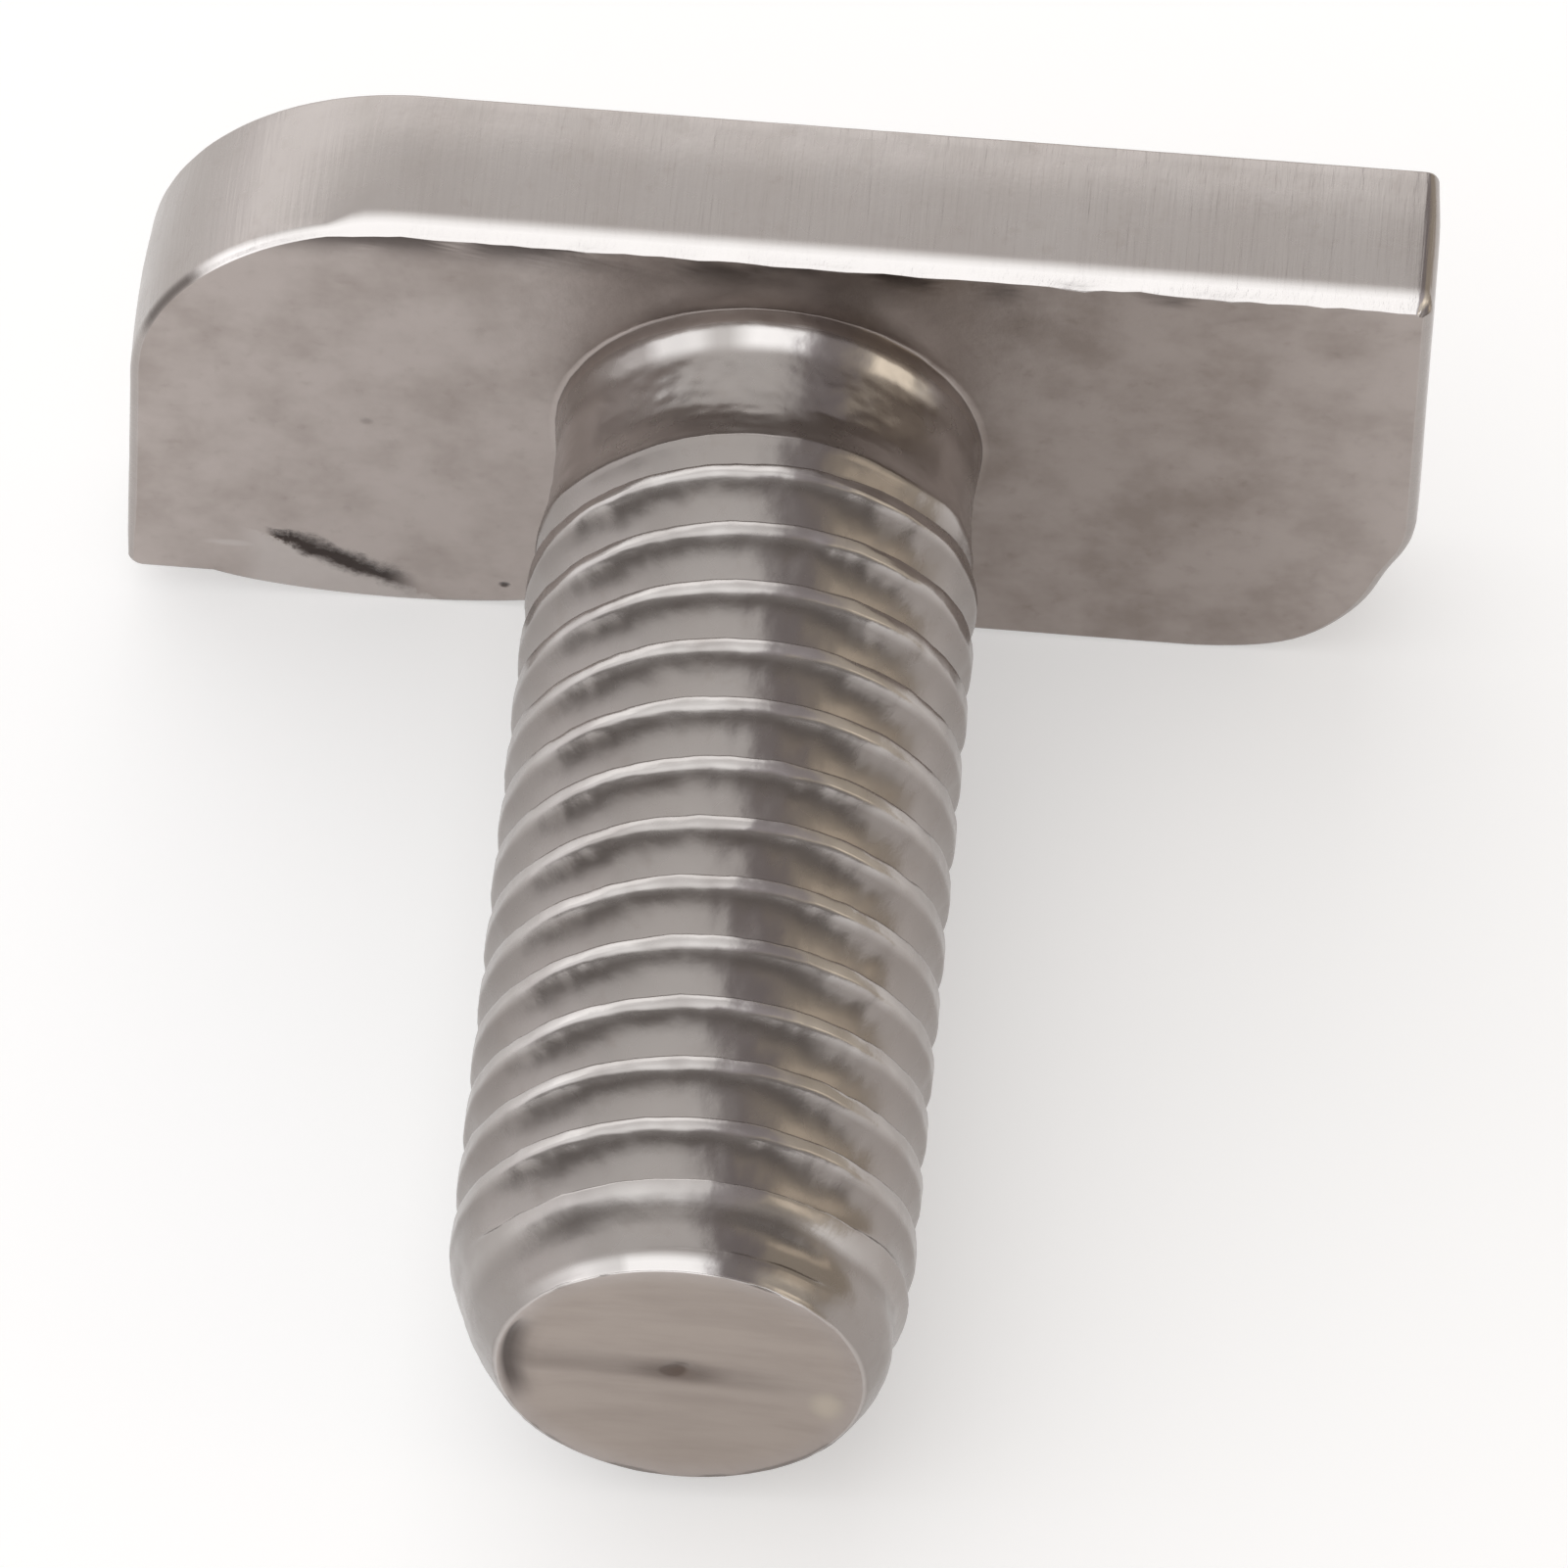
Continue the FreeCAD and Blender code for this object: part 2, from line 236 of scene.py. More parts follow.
@dataclass
class RolledThread:
    """The right-hand thread, rolled: rounded crests, hollow flanks down to the root, soft run-outs."""

    pitch: float = 1.25
    major_radius: float = 3.955
    depth: float = 0.58
    side_depth: float = 0.30
    root: float = 0.67
    start: float = 2.67
    runout_radius: float = 6.0
    last_crest: float = 18.6075
    places: int = 400
    steep: float = 1.5
    steep_share: float = 0.22
    slope: float = 0.30
    cut: np.ndarray = field(init=False)
    side_cut: np.ndarray = field(init=False)

    def __post_init__(self) -> None:
        """Works out how deep the groove is from one crest to the next, above and at the two sides."""
        self.cut = self._profile(0.10, 0.032) * self.depth
        self.side_cut = self._profile(0.18, 0.05) * self.side_depth

    def _profile(self, crest_half: float, soft_share: float) -> np.ndarray:
        """The groove's shape over one pitch, from the middle of a crest.

        Args:
            crest_half: Half the crest's width as a share of the pitch.
            soft_share: How far its corners are rounded as a share of the pitch.

        Returns:
            The cut at even places, from 0 on the crest to 1 at the root.
        """
        phase = (np.arange(self.places) + 0.5) / self.places
        falling = (phase > crest_half) & (phase < self.root)
        rising = (phase > self.root) & (phase < 1 - crest_half)
        flank = self.steep * np.exp(-(phase - crest_half) / self.steep_share) + self.slope
        fall = np.where(falling, flank, 0.0)
        fall = np.where(rising, -fall.sum() / rising.sum(), fall)
        spread = np.abs(np.fft.fftfreq(self.places) * self.places) / self.places
        soft = np.exp(-(spread / soft_share) ** 2)
        cut = np.real(np.fft.ifft(np.fft.fft(np.cumsum(fall)) * np.fft.fft(soft / soft.sum())))
        return (cut - cut.min()) / (cut.max() - cut.min())

    def phase(self, angle: np.ndarray, height: np.ndarray) -> np.ndarray:
        """How far each point is past the crest, as a share of the pitch.

        Args:
            angle: Each point's angle about the axis.
            height: Each point's height down the shank.

        Returns:
            The share at each point, 0 on a crest.
        """
        return np.mod((height - self.start) / self.pitch - angle / TURN + 0.5, 1.0)

    def radius(self, angle: np.ndarray, height: np.ndarray) -> np.ndarray:
        """The radius that the groove leaves.

        Args:
            angle: Each point's angle about the axis, from X towards Y.
            height: Each point's height down the shank.

        Returns:
            The radius at each point, the major radius where there is no groove yet.
        """
        whole = np.round((height - self.start) / self.pitch - angle / TURN)
        share = self.phase(angle, height) * self.places
        at = np.arange(self.places + 2) - 0.5
        above, beside = (np.interp(share, at, [cut[-1], *cut, cut[0]]) for cut in (self.cut, self.side_cut))
        side = smooth_step(0.80, 0.30, np.abs(np.sin(angle)))
        beside = beside * (1 - 0.6 * smooth_step(self.last_crest - 1.2, self.last_crest - 0.4, height))
        cut = above + (beside - above) * side
        before = np.clip(-(angle + whole * TURN), 0.0, None) * self.major_radius
        lifted = self.major_radius - cut + before * before / (2 * self.runout_radius)
        return np.minimum(lifted, self.major_radius)

    def last_dip(self, angle: np.ndarray, height: np.ndarray) -> np.ndarray:
        """How far the taper dips below its plain line after the last crest, on the upper side.

        Args:
            angle: Each point's angle about the axis.
            height: Each point's height down the shank.

        Returns:
            The dip at each point in millimetres.
        """
        from_top = np.mod(angle + math.pi / 2, TURN) - math.pi
        past = height - self.pitch * from_top / TURN - self.last_crest + 0.04
        dip = np.interp(past, (-0.05, 0.06, 0.16, 0.26, 0.36, 0.46, 0.58, 0.74, 0.88, 1.02, 1.14),
                        (0.0, 0.018, 0.075, 0.14, 0.18, 0.195, 0.18, 0.13, 0.09, 0.066, 0.05))
        return dip * smooth_step(0.25, 0.70, np.sin(angle))


@dataclass
class ShankForm:
    """The shank from the head's bearing face to the tip, as a radius about the axis."""

    thread: RolledThread = field(default_factory=RolledThread)
    length: float = 19.8
    face_radius: float = 3.10
    rim_round: float = 0.05
    tip_length: float = 1.72
    tip_taper: Tuple[float, float] = (0.19, 0.16)
    tip_shift: Tuple[float, float] = (0.15, -0.06)
    turns: int = 13
    turn_back: float = 2.8
    stray_radius: float = 3.9
    cup_depth: float = 0.13
    crease_place: float = -0.35
    crease_tilt_deg: float = -5.0
    dimple_depth: float = 0.07
    dimple_radius: float = 0.20
    neck_line: Tuple[Tuple[float, float], ...] = (
        (0.0, 3.78), (0.08, 3.765), (0.28, 3.755), (0.40, 3.735), (0.54, 3.672), (0.70, 3.597),
        (0.84, 3.555), (1.1, 3.508), (1.5, 3.445), (1.8, 3.425), (2.05, 3.455), (2.3, 3.525), (2.55, 3.615),
        (2.8, 3.715), (3.05, 3.805), (3.3, 3.88), (3.6, 3.935), (3.9, 3.955))
    neck_side: Tuple[Tuple[float, float], ...] = (
        (0.0, 3.78), (0.28, 3.755), (0.5, 3.73), (0.8, 3.70), (1.5, 3.705), (2.2, 3.76),
        (2.8, 3.87), (3.4, 3.94), (3.9, 3.955))
    rows_in_pitch: Tuple[float, ...] = (
        -0.235, -0.195, -0.16, -0.13, -0.10, -0.06, 0.0, 0.05, 0.08, 0.105, 0.13, 0.16, 0.195, 0.24, 0.30,
        0.37, 0.45, 0.53, 0.60, 0.655, 0.70, 0.735)

    def blank(self, angle: np.ndarray, height: np.ndarray) -> np.ndarray:
        """The radius of the blank, before threading: hollow below the collar, less so at the sides.

        Args:
            angle: Each point's angle about the axis.
            height: Each point's height down the shank.

        Returns:
            Each point's radius in millimetres.
        """
        near = np.abs(height[:, None] + np.linspace(-0.04, 0.04, 5))
        above, beside = (np.interp(near, *zip(*line)).mean(axis=1)
                         for line in (self.neck_line, self.neck_side))
        neck = above + (beside - above) * smooth_step(0.80, 0.35, np.abs(np.sin(angle)))
        over = np.clip(height - (self.length - self.tip_length), 0.0, self.tip_length)
        sides = 0.18 * smooth_step(0.3, 0.9, np.cos(angle)) + 0.07 * smooth_step(0.3, 0.9, -np.cos(angle))
        shaved = sides * np.exp(-((height - self.length + 1.3) / 0.42) ** 2)
        return neck - self.tip_taper[0] * over - self.tip_taper[1] * over * over - shaved

    def centre(self, height: np.ndarray) -> np.ndarray:
        """How far the tip's taper is off the axis, as it was formed.

        Args:
            height: Each point's height down the shank.

        Returns:
            The shift along X and Y in millimetres.
        """
        rise = smooth_step(self.length - self.tip_length - 0.3, self.length, height)
        return rise[:, None] * np.array(self.tip_shift)

    def slanted(self, angle: np.ndarray, height: float) -> np.ndarray:
        """A row's height at each angle: along the thread's slant, and level towards both ends.

        Args:
            angle: Each point's angle about the axis.
            height: The row's height on the upper side.

        Returns:
            Each point's height; the rows step back by a pitch on the under side.
        """
        first = self.thread.last_crest - self.turns * self.thread.pitch
        slant = float(np.interp(height, (0.3, first, self.thread.last_crest, self.length - self.rim_round),
                                (0.0, 1.0, 1.0, 0.0)))
        from_top = np.mod(angle - math.pi / 2 + math.pi, TURN) - math.pi
        back = self.turn_back * (math.pi - np.abs(from_top)) / (math.pi - self.turn_back)
        turned = np.where(np.abs(from_top) < self.turn_back, from_top, np.sign(from_top) * back)
        return height + slant * self.thread.pitch * turned / TURN

    def ring(self, angle: np.ndarray, height: float) -> np.ndarray:
        """One ring of the shank.

        Args:
            angle: Each point's angle about the axis.
            height: How far down the shank it is on the upper side.

        Returns:
            The ring's points in the bolt's own axes.
        """
        heights = self.slanted(angle, height)
        blank = self.blank(angle, heights)
        threaded = self.thread.radius(angle, heights + self._wander(angle, heights))
        full = smooth_step(self.thread.major_radius - 0.05, self.thread.major_radius, blank)
        radius = full * threaded + (1 - full) * smooth_min(blank, threaded, 0.06)
        radius = radius - self.thread.last_dip(angle, heights)
        ring = round_axis(angle, radius, self.centre(heights), heights)
        crest = smooth_step(0.20, 0.0, blank - radius)
        rough = 0.012 * grain(ring, 2.1, 1.0) + 0.008 * grain(ring, 5.5, 2.0) - 0.010
        ring[:, :2] *= (1 + (rough * crest / radius))[:, None]
        return ring

    def rows(self) -> List[float]:
        """The heights of the rows from the tip's rim to the neck, closer together on the crests."""
        top = self.length - self.rim_round
        last, pitch = self.thread.last_crest, self.thread.pitch
        first = last - self.turns * pitch
        near_tip = np.linspace(top, last, 21, endpoint=False)
        threaded = [last - turn * pitch + share * pitch for turn in range(self.turns, -1, -1)
                    for share in self.rows_in_pitch]
        near_head = np.linspace(first + self.rows_in_pitch[0] * pitch, 0.3, 42)[1:]
        return [*near_tip, last, *sorted((row for row in threaded if row < last), reverse=True), *near_head]

    def end_face(self, angle: np.ndarray, share: float) -> np.ndarray:
        """One ring of the tip's end face: a shallow cup with a crease across it and a dimple.

        Args:
            angle: Each point's angle about the axis.
            share: How far out from the middle, up to 1 at the rim.

        Returns:
            The ring's points in the bolt's own axes.
        """
        across, up = share * self.face_radius * np.cos(angle), share * self.face_radius * np.sin(angle)
        cup = self.cup_depth * (1 - share ** 4.0) + self.cup_depth * self.left_pocket(angle, share)
        tilt = math.radians(self.crease_tilt_deg)
        off_crease = up * math.cos(tilt) - across * math.sin(tilt) - self.crease_place
        lean = 0.09 * smooth_step(-0.35, 0.9, off_crease)
        dimple = self.dimple_depth * math.exp(-(share * self.face_radius / self.dimple_radius) ** 2)
        height = self.length - cup - dimple + (lean - 0.05) * (1 - share ** 4)
        ring = round_axis(angle, share * self.face_radius, self.tip_shift, height)
        ring[:, 2] += 0.008 * grain(ring, 1.6, 3.0) * (1 - share ** 6)
        return ring

    @staticmethod
    def left_pocket(angle: np.ndarray, share: float) -> np.ndarray:
        """Where the end face dips under the rim at its left, from 0 to 1.

        Args:
            angle: Each point's angle about the axis.
            share: How far out from the middle, up to 1 at the rim.

        Returns:
            The dip's strength at each point.
        """
        left = smooth_step(-0.88, -0.985, np.cos(angle + 0.02))
        return left * smooth_step(0.80, 0.95, share) * smooth_step(1.0, 0.97, share)

    def rim(self, angle: np.ndarray, lean: float) -> np.ndarray:
        """One ring of the rounded rim between the end face and the taper.

        Args:
            angle: Each point's angle about the axis.
            lean: How far the rim has turned over, in radians.

        Returns:
            The ring's points in the bolt's own axes.
        """
        radius = self.face_radius + self.rim_round * math.sin(lean)
        ring = round_axis(angle, radius, self.tip_shift, self.length - self.rim_round * (1 - math.cos(lean)))
        ragged = 0.045 * grain(ring, 1.9, 4.0) + 0.028 * grain(ring, 4.6, 5.0)
        ring[:, 2] += np.minimum(ragged, 0.0) - 0.004
        return ring

    def add_to(self, skin: RingSkin, angle: np.ndarray) -> None:
        """Adds the end face, the rim, the taper, the thread and the neck to the skin.

        Args:
            skin: The skin to add to.
            angle: Each point's angle about the axis.
        """
        for share in (0.02, 0.05, 0.09, 0.14, 0.21, 0.3, 0.4, 0.5, 0.6, 0.7,
                      0.78, 0.84, 0.89, 0.93, 0.965, 1.0):
            # Painted shade in the pocket under the left of the rim.
            painted_dark = 0.85 * self.left_pocket(angle, share)
            skin.add(self.end_face(angle, share), face=0.75, end=min(1.0, 8 * (1 - share)), crease=painted_dark)
        # Painted highlight in patches on the rim.
        burnish_highlight_share = 0.15 + 0.85 * self.rim_highlight(angle)
        for lean in (0.2, 0.42, 0.62, 0.8):
            skin.add(self.rim(angle, lean), face=0.3, rolled=0.5, burnished=burnish_highlight_share)
        for height in self.rows():
            ring = self.ring(angle, float(height))
            skin.add(ring, rolled=1.0, burnished=self.burnish(angle, ring), crease=self.groove_shade(angle, ring))
        # Painted shade where the neck meets the bearing face.
        for height in (0.25, 0.2, 0.155, 0.115, 0.08, 0.05, 0.022):
            skin.add(self.ring(angle, height), rolled=0.5, face=0.5, crease=0.34 * (0.25 - height) / 0.25)

    def burnish(self, angle: np.ndarray, ring: np.ndarray) -> np.ndarray:
        """How bright the steel is painted: the dies' burnish on the crests, brighter towards the upper side
        as a painted highlight, painted highlights in patches on the collar and the tip's rim, and painted
        light in the hollow below the collar.

        Args:
            angle: Each point's angle about the axis.
            ring: The ring's points.

        Returns:
            The burnish at each point, from 0 to 1.
        """
        heights = ring[:, 2]
        phase = np.mod(self.thread.phase(angle, heights + self._wander(angle, heights)) + 0.5, 1.0) - 0.5
        crest = np.interp(phase, (-0.34, -0.22, -0.10, 0.02, 0.09, 0.13, 0.18),
                          (0.0, 0.25, 0.40, 0.72, 0.95, 0.6, 0.0))
        on_thread = smooth_step(2.2, 3.0, heights) * smooth_step(18.95, 18.7, heights)
        # Painted highlight: the crests are brighter on the upper side, where the light falls.
        facing = 0.22 + 0.78 * smooth_step(0.35, 0.92, np.sin(angle))
        patchy = 0.62 + 0.30 * grain(ring, 1.1, 17.0) + 0.25 * grain(ring, 3.0, 18.0)
        # Painted highlights in patches round the collar.
        patches = np.interp(np.degrees(np.mod(angle, TURN)),
                            (34, 42, 58, 65, 75, 81, 94, 101, 105, 110, 120, 127),
                            (0.05, 0.62, 0.62, 0.12, 0.12, 0.95, 0.95, 0.28, 0.28, 0.72, 0.70, 0.05))
        collar = patches * smooth_step(0.26, 0.42, heights) * smooth_step(0.84, 0.60, heights)
        # Painted highlight on the tip's rim.
        rim = self.rim_highlight(angle) * smooth_step(self.length - 0.34, self.length - 0.16, heights)
        # Painted light in the hollow below the collar, towards its sides.
        hollow = smooth_step(0.7, 1.2, heights) * smooth_step(2.9, 2.3, heights)
        hollow = 0.26 * hollow * smooth_step(0.25, 0.75, np.abs(np.cos(angle)))
        thread = 0.72 * patchy * crest * on_thread * facing
        return np.clip(np.maximum.reduce([thread, collar, rim, hollow]), 0.0, 1.0)

    @staticmethod
    def rim_highlight(angle: np.ndarray) -> np.ndarray:
        """A painted highlight on the tip's rim at each angle: only in patches on the upper side."""
        return np.interp(np.degrees(np.mod(angle, TURN)), (45, 52, 64, 70, 77, 82, 106, 109, 120, 134, 150),
                         (0.0, 0.4, 0.4, 0.1, 0.1, 1.0, 1.0, 0.6, 0.8, 0.3, 0.0))

    def _wander(self, angle: np.ndarray, heights: np.ndarray) -> np.ndarray:
        """How far the thread strays along the shank at each point, in millimetres."""
        plain = round_axis(angle, self.stray_radius, (0.0, 0.0), heights)
        return 0.030 * grain(plain, 1.5, 15.0) + 0.016 * grain(plain, 4.0, 16.0)

    def groove_shade(self, angle: np.ndarray, ring: np.ndarray) -> np.ndarray:
        """How much painted shade darkens the steel under each crest, mostly towards the two sides, and a
        little near the tip.

        Args:
            angle: Each point's angle about the axis.
            ring: The ring's points.

        Returns:
            The painted shade at each point, from 0 to 1.
        """
        heights = ring[:, 2]
        phase = self.thread.phase(angle, heights)
        under = np.interp(phase, (0.05, 0.20, 0.32, 0.50, 0.70, 0.86), (0.0, 0.92, 0.80, 0.40, 0.12, 0.0))
        left = 0.24 * smooth_step(-0.05, -0.75, np.cos(angle))
        right = 0.13 * smooth_step(0.20, 0.60, np.cos(angle))
        away = 0.35 + 0.65 * smooth_step(0.05, 0.40, np.sin(angle))
        patchy = 1.0 + 0.25 * grain(ring, 0.9, 19.0)
        on_thread = smooth_step(1.9, 3.2, heights)
        on_thread = on_thread * smooth_step(self.length - 0.3, self.length - 1.2, heights)
        sides = 0.08 * smooth_step(self.length - 1.0, self.length - 0.4, heights)
        return np.clip(under * (0.05 + left + right) * away * patchy * on_thread + sides, 0.0, 1.0)


@dataclass
class HeadForm:
    """The oblong head plate: its outline, its rolled edges, its flash and the bent lip there."""

    length: float = 23.0
    width: float = 10.45
    thickness: float = 3.1
    left_radius: float = 5.0
    right_radius: float = 4.0
    stop_radius: float = 0.32
    upper_roll: float = 0.70
    upper_lean: float = 0.80
    corner_roll: float = 0.34
    side_roll: float = 0.22
    lower_roll: float = 0.10
    back_break: float = 0.10
    left_draw: float = 0.12
    inset: float = 0.022
    waves: float = 0.006
    flash_centre: float = -6.7
    flash_length: float = 6.4
    flash_height: float = 0.45

    def outline(self) -> Tuple[np.ndarray, np.ndarray]:
        """The head's outline, counter-clockwise from the middle of its right end.

        Returns:
            The points, and the outward direction at each.
        """
        x, y = self.length / 2, self.width / 2
        left, right, stop = self.left_radius, self.right_radius, self.stop_radius
        points: List[Tuple[float, float]] = []
        ways: List[float] = []

        def run(start: Tuple[float, float], end: Tuple[float, float], steps: int, way: float) -> None:
            """Adds a straight side, without its last point."""
            for step in range(steps):
                points.append(tuple(a + (b - a) * (step / steps) for a, b in zip(start, end)))
                ways.append(way)

        def bend(centre: Tuple[float, float], radius: float, start: float, steps: int) -> None:
            """Adds a quarter round, without its last point."""
            for step in range(steps):
                way = start + math.pi / 2 * step / steps
                points.append((centre[0] + radius * math.cos(way), centre[1] + radius * math.sin(way)))
                ways.append(way)

        half = math.pi / 2
        run((x, 0.0), (x, y - stop), 13, 0.0)
        bend((x - stop, y - stop), stop, 0.0, 8)
        run((x - stop, y), (0.0, y), 35, half)
        run((0.0, y), (left - x, y), 20, half)
        bend((left - x, y - left), left, half, 35)
        run((-x, y - left), (-x, 0.0), 1, math.pi)
        run((-x, 0.0), (-x, stop - y), 9, math.pi)
        bend((stop - x, stop - y), stop, math.pi, 7)
        flash_left = self.flash_centre - self.flash_length / 2
        flash_right = self.flash_centre + self.flash_length / 2
        run((stop - x, -y), (flash_left, -y), 2, 3 * half)
        run((flash_left, -y), (flash_right, -y), 31, 3 * half)
        run((flash_right, -y), (0.0, -y), 7, 3 * half)
        run((0.0, -y), (x - right, -y), 23, 3 * half)
        bend((x - right, right - y), right, 3 * half, 28)
        run((x, right - y), (x, 0.0), 5, 0.0)
        normals = np.stack([np.cos(ways), np.sin(ways)], axis=-1)
        return np.array(points), normals

    def bulge(self, along: np.ndarray, lower: np.ndarray) -> np.ndarray:
        """How far the flash stands out of the lower long edge.

        Args:
            along: Each outline point's place along the head.
            lower: 1 on the lower long edge and 0 elsewhere.

        Returns:
            The bulge at each point in millimetres.
        """
        share = np.clip(2 * (along - self.flash_centre) / self.flash_length, -1.0, 1.0)
        return lower * self.flash_height * (1 - share * share) ** 0.9

    @staticmethod
    def right_draw(normals: np.ndarray) -> np.ndarray:
        """How far the lower right corner is flattened in and swelled out, as the shear left it.

        Args:
            normals: The outward direction at each outline point.

        Returns:
            The shift outward at each point in millimetres.
        """
        below = np.degrees(np.arctan2(-normals[:, 1], normals[:, 0]))
        corner = (normals[:, 0] > 1e-6) & (normals[:, 1] < -1e-6)
        return corner * (0.10 * np.exp(-((below - 62) / 14) ** 2) - 0.17 * np.exp(-((below - 22) / 12) ** 2))

    def roll_shape(self, points: np.ndarray, normals: np.ndarray) -> Tuple[np.ndarray, np.ndarray]:
        """How the bearing edge is rolled over: wide and cut off short on the upper long side.

        Args:
            points: The outline's points.
            normals: The outward direction at each.

        Returns:
            The roll's radius at each point, and how far its normal leans where it meets the face.
        """
        upper = smooth_step(np.where(points[:, 0] > 0, 0.2, 0.965), 0.993, normals[:, 1])
        corner = smooth_step(-0.15, 0.35, normals[:, 1]) * (points[:, 0] < 0) * (1 - upper)
        sides = smooth_step(-4.6, -3.4, points[:, 1]) * (1 - upper) * (1 - corner)
        lower = 1 - upper - corner - sides
        radius = (upper * self.upper_roll + corner * self.corner_roll + sides * self.side_roll
                  + lower * self.lower_roll)
        lean = upper * self.upper_lean + corner * 0.75 + sides * 0.2 + lower * 0.12
        return radius, lean

    def dress_face(self, ring: np.ndarray) -> np.ndarray:
        """Gives one ring of the bearing face its slight waves and its bent lip at the flash.

        Args:
            ring: The ring on the plain bearing face.

        Returns:
            The dressed ring.
        """
        dressed = ring.copy()
        dressed[:, 2] += 0.010 * grain(ring, 0.45, 6.0) + 0.004 * grain(ring, 1.5, 7.0)
        lip = smooth_step(0.9, 0.0, np.abs(ring[:, 0] - self.flash_centre) / (self.flash_length * 0.6))
        dressed[:, 2] -= 0.06 * lip * smooth_step(-4.3, -5.5, ring[:, 1])
        return dressed

    def add_to(self, skin: RingSkin, neck: np.ndarray) -> None:
        """Adds the bearing face, the rolled edge, the flank, the back edge and the back to the skin.

        Args:
            skin: The skin to add to.
            neck: The neck's last ring, on the bearing face.
        """
        plan, normals = self.outline()
        lower = ((plan[:, 1] < -self.width / 2 + 0.01) & (np.abs(normals[:, 0]) < 0.01)).astype(float)
        bulge = self.bulge(plan[:, 0], lower)
        drawn = self.left_draw * np.clip(normals[:, 0], -1.0, 0.0)
        bend = drawn * (0.3 + smooth_step(-5.0, 1.0, plan[:, 1]))
        edge = plan + normals * (bulge + bend + self.right_draw(normals) - self.inset)[:, None]
        roll, lean = self.roll_shape(plan, normals)
        lip = at_height(edge, 0.0)
        upper = smooth_step(0.965, 0.993, normals[:, 1])
        upper = upper * smooth_step(self.length / 2 - 0.4, self.length / 2 - 1.1, lip[:, 0])
        ragged = upper * (0.060 * grain(lip, 1.8, 8.0) + 0.045 * grain(lip, 5.0, 9.0))
        inner = edge - normals * (roll * (1 - np.sin(lean)) + ragged)[:, None]
        hub = neck[:, :2]
        reach = np.linalg.norm(inner - hub, axis=1)
        near = (1.5, 1.3, 1.1, 0.9, 0.72, 0.55, 0.4, 0.27, 0.16, 0.08, 0.035, 0.012)
        outer = [1 - np.minimum(gap / reach, 0.86 * gap / near[0]) for gap in near]
        shares = [outer[0] * step for step in (0.005, 0.022, 0.06, 0.16, 0.3, 0.46, 0.64, 0.82)] + outer
        for share in shares:
            ring = self.dress_face(at_height(hub + (inner - hub) * share[:, None], 0.0))
            # Painted shade on the face below the rolled upper edge, ragged by noise and fading towards the
            # ends.
            shade_ragging = grain(ring, 0.9, 20.0) + 0.4 * grain(ring, 3.5, 21.0) - (ring[:, 0] - 1.0) / 16
            away = self.width / 2 - self.upper_roll * (1 - math.sin(self.upper_lean)) - ring[:, 1]
            depth = np.interp(away, (0.05, 0.22, 0.38, 0.60, 0.80), (0.85, 0.72, 0.42, 0.12, 0.0))
            inside = smooth_step(self.length / 2 - 0.3, self.length / 2 - 0.9, np.abs(ring[:, 0]))
            skin.add(ring, face=1.0, crease=depth * inside * smooth_step(-0.30, 0.35, shade_ragging))
        self._add_roll(skin, edge, inner, normals, roll, lean)
        self._add_flank(skin, edge, normals, roll * np.cos(lean), bulge)

    def _add_roll(self, skin: RingSkin, edge: np.ndarray, inner: np.ndarray, normals: np.ndarray,
                  roll: np.ndarray, lean: np.ndarray) -> None:
        """Adds the bearing edge, rolled over from the face to the flank.

        Args:
            skin: The skin to add to.
            edge: The outline's points.
            inner: Where the roll meets the face.
            normals: The outward direction at each.
            roll: The roll's radius at each.
            lean: How far the roll's normal leans outward where it meets the face.
        """
        base = skin.rings[-1][:, 2]
        for step in (0.0, 0.04, 0.15, 0.3, 0.46, 0.62, 0.78, 0.92):
            turned = lean + (math.pi / 2 - lean) * step
            inward = roll * (1 - np.sin(turned))
            sink = roll * (np.cos(lean) - np.cos(turned))
            settled = (1 - step) ** 6
            flat = inner * settled + (edge - normals * inward[:, None]) * (1 - settled)
            ring = at_height(flat, base * (1 - step) - sink)
            ring[:, :2] += normals * (self.waves * step * grain(ring, 3.4, 10.0))[:, None]
            # Painted highlight along the roll of the upper long edge, with the sheared edge's burnish.
            burnish_highlight_share = smooth_step(0.62, 0.78, normals[:, 1]) * smooth_step(1.0, 0.45, step)
            # Painted shade on the roll round the upper left corner.
            around = smooth_step(0.70, 0.62, normals[:, 1]) * smooth_step(0.25, 0.40, normals[:, 1])
            darkening = 0.75 * around * (normals[:, 0] < 0) * math.sin(math.pi * min(1.0, step + 0.15))
            flat_share, flank_share = max(0.0, 0.5 - 2 * step), min(1.0, 0.6 + step)
            skin.add(ring, face=flat_share, flank=flank_share, burnished=burnish_highlight_share, crease=darkening)

